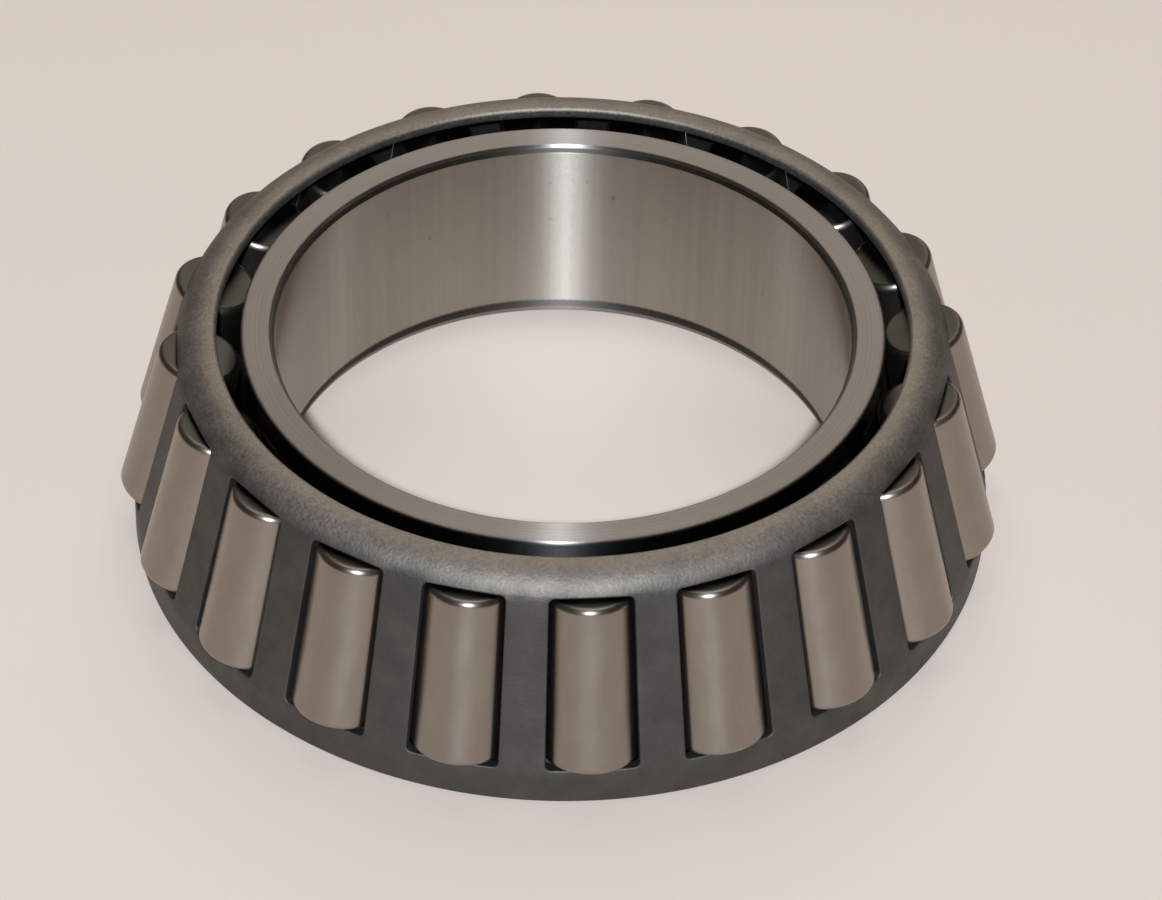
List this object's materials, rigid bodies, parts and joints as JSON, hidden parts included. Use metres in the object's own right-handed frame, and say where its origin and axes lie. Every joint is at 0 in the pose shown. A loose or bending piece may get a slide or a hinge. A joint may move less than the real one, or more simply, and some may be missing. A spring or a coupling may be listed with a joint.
{
  "type": "tapered roller bearing cone assembly",
  "caption": "Tapered roller bearing cone assembly: a bored inner ring, a windowed pressed steel cage and tapered rollers that roll around the ring's raceway.",
  "frame": {"origin": "bearing axis on the plane of the inner ring's wide back face, on which it stands", "axes": "+Z along the bearing axis from the wide back face to the narrow front face; one roller lies on +X"},
  "size_m": [0.1384, 0.1384, 0.0371],
  "materials": {
    "ring_steel": "ground bearing steel, satin, fine turning marks",
    "roller_steel": "ground and honed bearing steel, satin with soft highlights",
    "cage_steel": "pressed and tumbled sheet steel, dark grey, matt"
  },
  "bodies": {
    "inner_ring": {"inner_ring": "ring_steel"},
    "cage": {"cage": "cage_steel"},
    "roller_01": {"roller_01": "roller_steel"},
    "roller_02": {"roller_02": "roller_steel"},
    "roller_03": {"roller_03": "roller_steel"},
    "roller_04": {"roller_04": "roller_steel"},
    "roller_05": {"roller_05": "roller_steel"},
    "roller_06": {"roller_06": "roller_steel"},
    "roller_07": {"roller_07": "roller_steel"},
    "roller_08": {"roller_08": "roller_steel"},
    "roller_09": {"roller_09": "roller_steel"},
    "roller_10": {"roller_10": "roller_steel"},
    "roller_11": {"roller_11": "roller_steel"},
    "roller_12": {"roller_12": "roller_steel"},
    "roller_13": {"roller_13": "roller_steel"},
    "roller_14": {"roller_14": "roller_steel"},
    "roller_15": {"roller_15": "roller_steel"},
    "roller_16": {"roller_16": "roller_steel"},
    "roller_17": {"roller_17": "roller_steel"},
    "roller_18": {"roller_18": "roller_steel"},
    "roller_19": {"roller_19": "roller_steel"},
    "roller_20": {"roller_20": "roller_steel"}
  },
  "joints": [
    {"name": "cage_spin", "type": "hinge", "parent": "inner_ring", "child": "cage", "pos_m": [0, 0, 0], "axis": [0, 0, 1], "continuous": true},
    {"name": "roller_01_spin", "type": "hinge", "parent": "cage", "child": "roller_01", "pos_m": [0.05915, 0, 0.01926], "axis": [-0.2419, 0, 0.9703], "continuous": true},
    {"name": "roller_02_spin", "type": "hinge", "parent": "cage", "child": "roller_02", "pos_m": [0.05626, 0.01828, 0.01926], "axis": [-0.2301, -0.0748, 0.9703], "continuous": true},
    {"name": "roller_03_spin", "type": "hinge", "parent": "cage", "child": "roller_03", "pos_m": [0.04785, 0.03477, 0.01926], "axis": [-0.1957, -0.1422, 0.9703], "continuous": true},
    {"name": "roller_04_spin", "type": "hinge", "parent": "cage", "child": "roller_04", "pos_m": [0.03477, 0.04785, 0.01926], "axis": [-0.1422, -0.1957, 0.9703], "continuous": true},
    {"name": "roller_05_spin", "type": "hinge", "parent": "cage", "child": "roller_05", "pos_m": [0.01828, 0.05626, 0.01926], "axis": [-0.0748, -0.2301, 0.9703], "continuous": true},
    {"name": "roller_06_spin", "type": "hinge", "parent": "cage", "child": "roller_06", "pos_m": [0, 0.05915, 0.01926], "axis": [0, -0.2419, 0.9703], "continuous": true},
    {"name": "roller_07_spin", "type": "hinge", "parent": "cage", "child": "roller_07", "pos_m": [-0.01828, 0.05626, 0.01926], "axis": [0.0748, -0.2301, 0.9703], "continuous": true},
    {"name": "roller_08_spin", "type": "hinge", "parent": "cage", "child": "roller_08", "pos_m": [-0.03477, 0.04785, 0.01926], "axis": [0.1422, -0.1957, 0.9703], "continuous": true},
    {"name": "roller_09_spin", "type": "hinge", "parent": "cage", "child": "roller_09", "pos_m": [-0.04785, 0.03477, 0.01926], "axis": [0.1957, -0.1422, 0.9703], "continuous": true},
    {"name": "roller_10_spin", "type": "hinge", "parent": "cage", "child": "roller_10", "pos_m": [-0.05626, 0.01828, 0.01926], "axis": [0.2301, -0.0748, 0.9703], "continuous": true},
    {"name": "roller_11_spin", "type": "hinge", "parent": "cage", "child": "roller_11", "pos_m": [-0.05915, 0, 0.01926], "axis": [0.2419, 0, 0.9703], "continuous": true},
    {"name": "roller_12_spin", "type": "hinge", "parent": "cage", "child": "roller_12", "pos_m": [-0.05626, -0.01828, 0.01926], "axis": [0.2301, 0.0748, 0.9703], "continuous": true},
    {"name": "roller_13_spin", "type": "hinge", "parent": "cage", "child": "roller_13", "pos_m": [-0.04785, -0.03477, 0.01926], "axis": [0.1957, 0.1422, 0.9703], "continuous": true},
    {"name": "roller_14_spin", "type": "hinge", "parent": "cage", "child": "roller_14", "pos_m": [-0.03477, -0.04785, 0.01926], "axis": [0.1422, 0.1957, 0.9703], "continuous": true},
    {"name": "roller_15_spin", "type": "hinge", "parent": "cage", "child": "roller_15", "pos_m": [-0.01828, -0.05626, 0.01926], "axis": [0.0748, 0.2301, 0.9703], "continuous": true},
    {"name": "roller_16_spin", "type": "hinge", "parent": "cage", "child": "roller_16", "pos_m": [0, -0.05915, 0.01926], "axis": [0, 0.2419, 0.9703], "continuous": true},
    {"name": "roller_17_spin", "type": "hinge", "parent": "cage", "child": "roller_17", "pos_m": [0.01828, -0.05626, 0.01926], "axis": [-0.0748, 0.2301, 0.9703], "continuous": true},
    {"name": "roller_18_spin", "type": "hinge", "parent": "cage", "child": "roller_18", "pos_m": [0.03477, -0.04785, 0.01926], "axis": [-0.1422, 0.1957, 0.9703], "continuous": true},
    {"name": "roller_19_spin", "type": "hinge", "parent": "cage", "child": "roller_19", "pos_m": [0.04785, -0.03477, 0.01926], "axis": [-0.1957, 0.1422, 0.9703], "continuous": true},
    {"name": "roller_20_spin", "type": "hinge", "parent": "cage", "child": "roller_20", "pos_m": [0.05626, -0.01828, 0.01926], "axis": [-0.2301, 0.0748, 0.9703], "continuous": true}
  ],
  "couplings": [
    {"joint": "roller_01_spin", "follows": "cage_spin", "ratio": 7.6541},
    {"joint": "roller_02_spin", "follows": "cage_spin", "ratio": 7.6541},
    {"joint": "roller_03_spin", "follows": "cage_spin", "ratio": 7.6541},
    {"joint": "roller_04_spin", "follows": "cage_spin", "ratio": 7.6541},
    {"joint": "roller_05_spin", "follows": "cage_spin", "ratio": 7.6541},
    {"joint": "roller_06_spin", "follows": "cage_spin", "ratio": 7.6541},
    {"joint": "roller_07_spin", "follows": "cage_spin", "ratio": 7.6541},
    {"joint": "roller_08_spin", "follows": "cage_spin", "ratio": 7.6541},
    {"joint": "roller_09_spin", "follows": "cage_spin", "ratio": 7.6541},
    {"joint": "roller_10_spin", "follows": "cage_spin", "ratio": 7.6541},
    {"joint": "roller_11_spin", "follows": "cage_spin", "ratio": 7.6541},
    {"joint": "roller_12_spin", "follows": "cage_spin", "ratio": 7.6541},
    {"joint": "roller_13_spin", "follows": "cage_spin", "ratio": 7.6541},
    {"joint": "roller_14_spin", "follows": "cage_spin", "ratio": 7.6541},
    {"joint": "roller_15_spin", "follows": "cage_spin", "ratio": 7.6541},
    {"joint": "roller_16_spin", "follows": "cage_spin", "ratio": 7.6541},
    {"joint": "roller_17_spin", "follows": "cage_spin", "ratio": 7.6541},
    {"joint": "roller_18_spin", "follows": "cage_spin", "ratio": 7.6541},
    {"joint": "roller_19_spin", "follows": "cage_spin", "ratio": 7.6541},
    {"joint": "roller_20_spin", "follows": "cage_spin", "ratio": 7.6541}
  ]
}
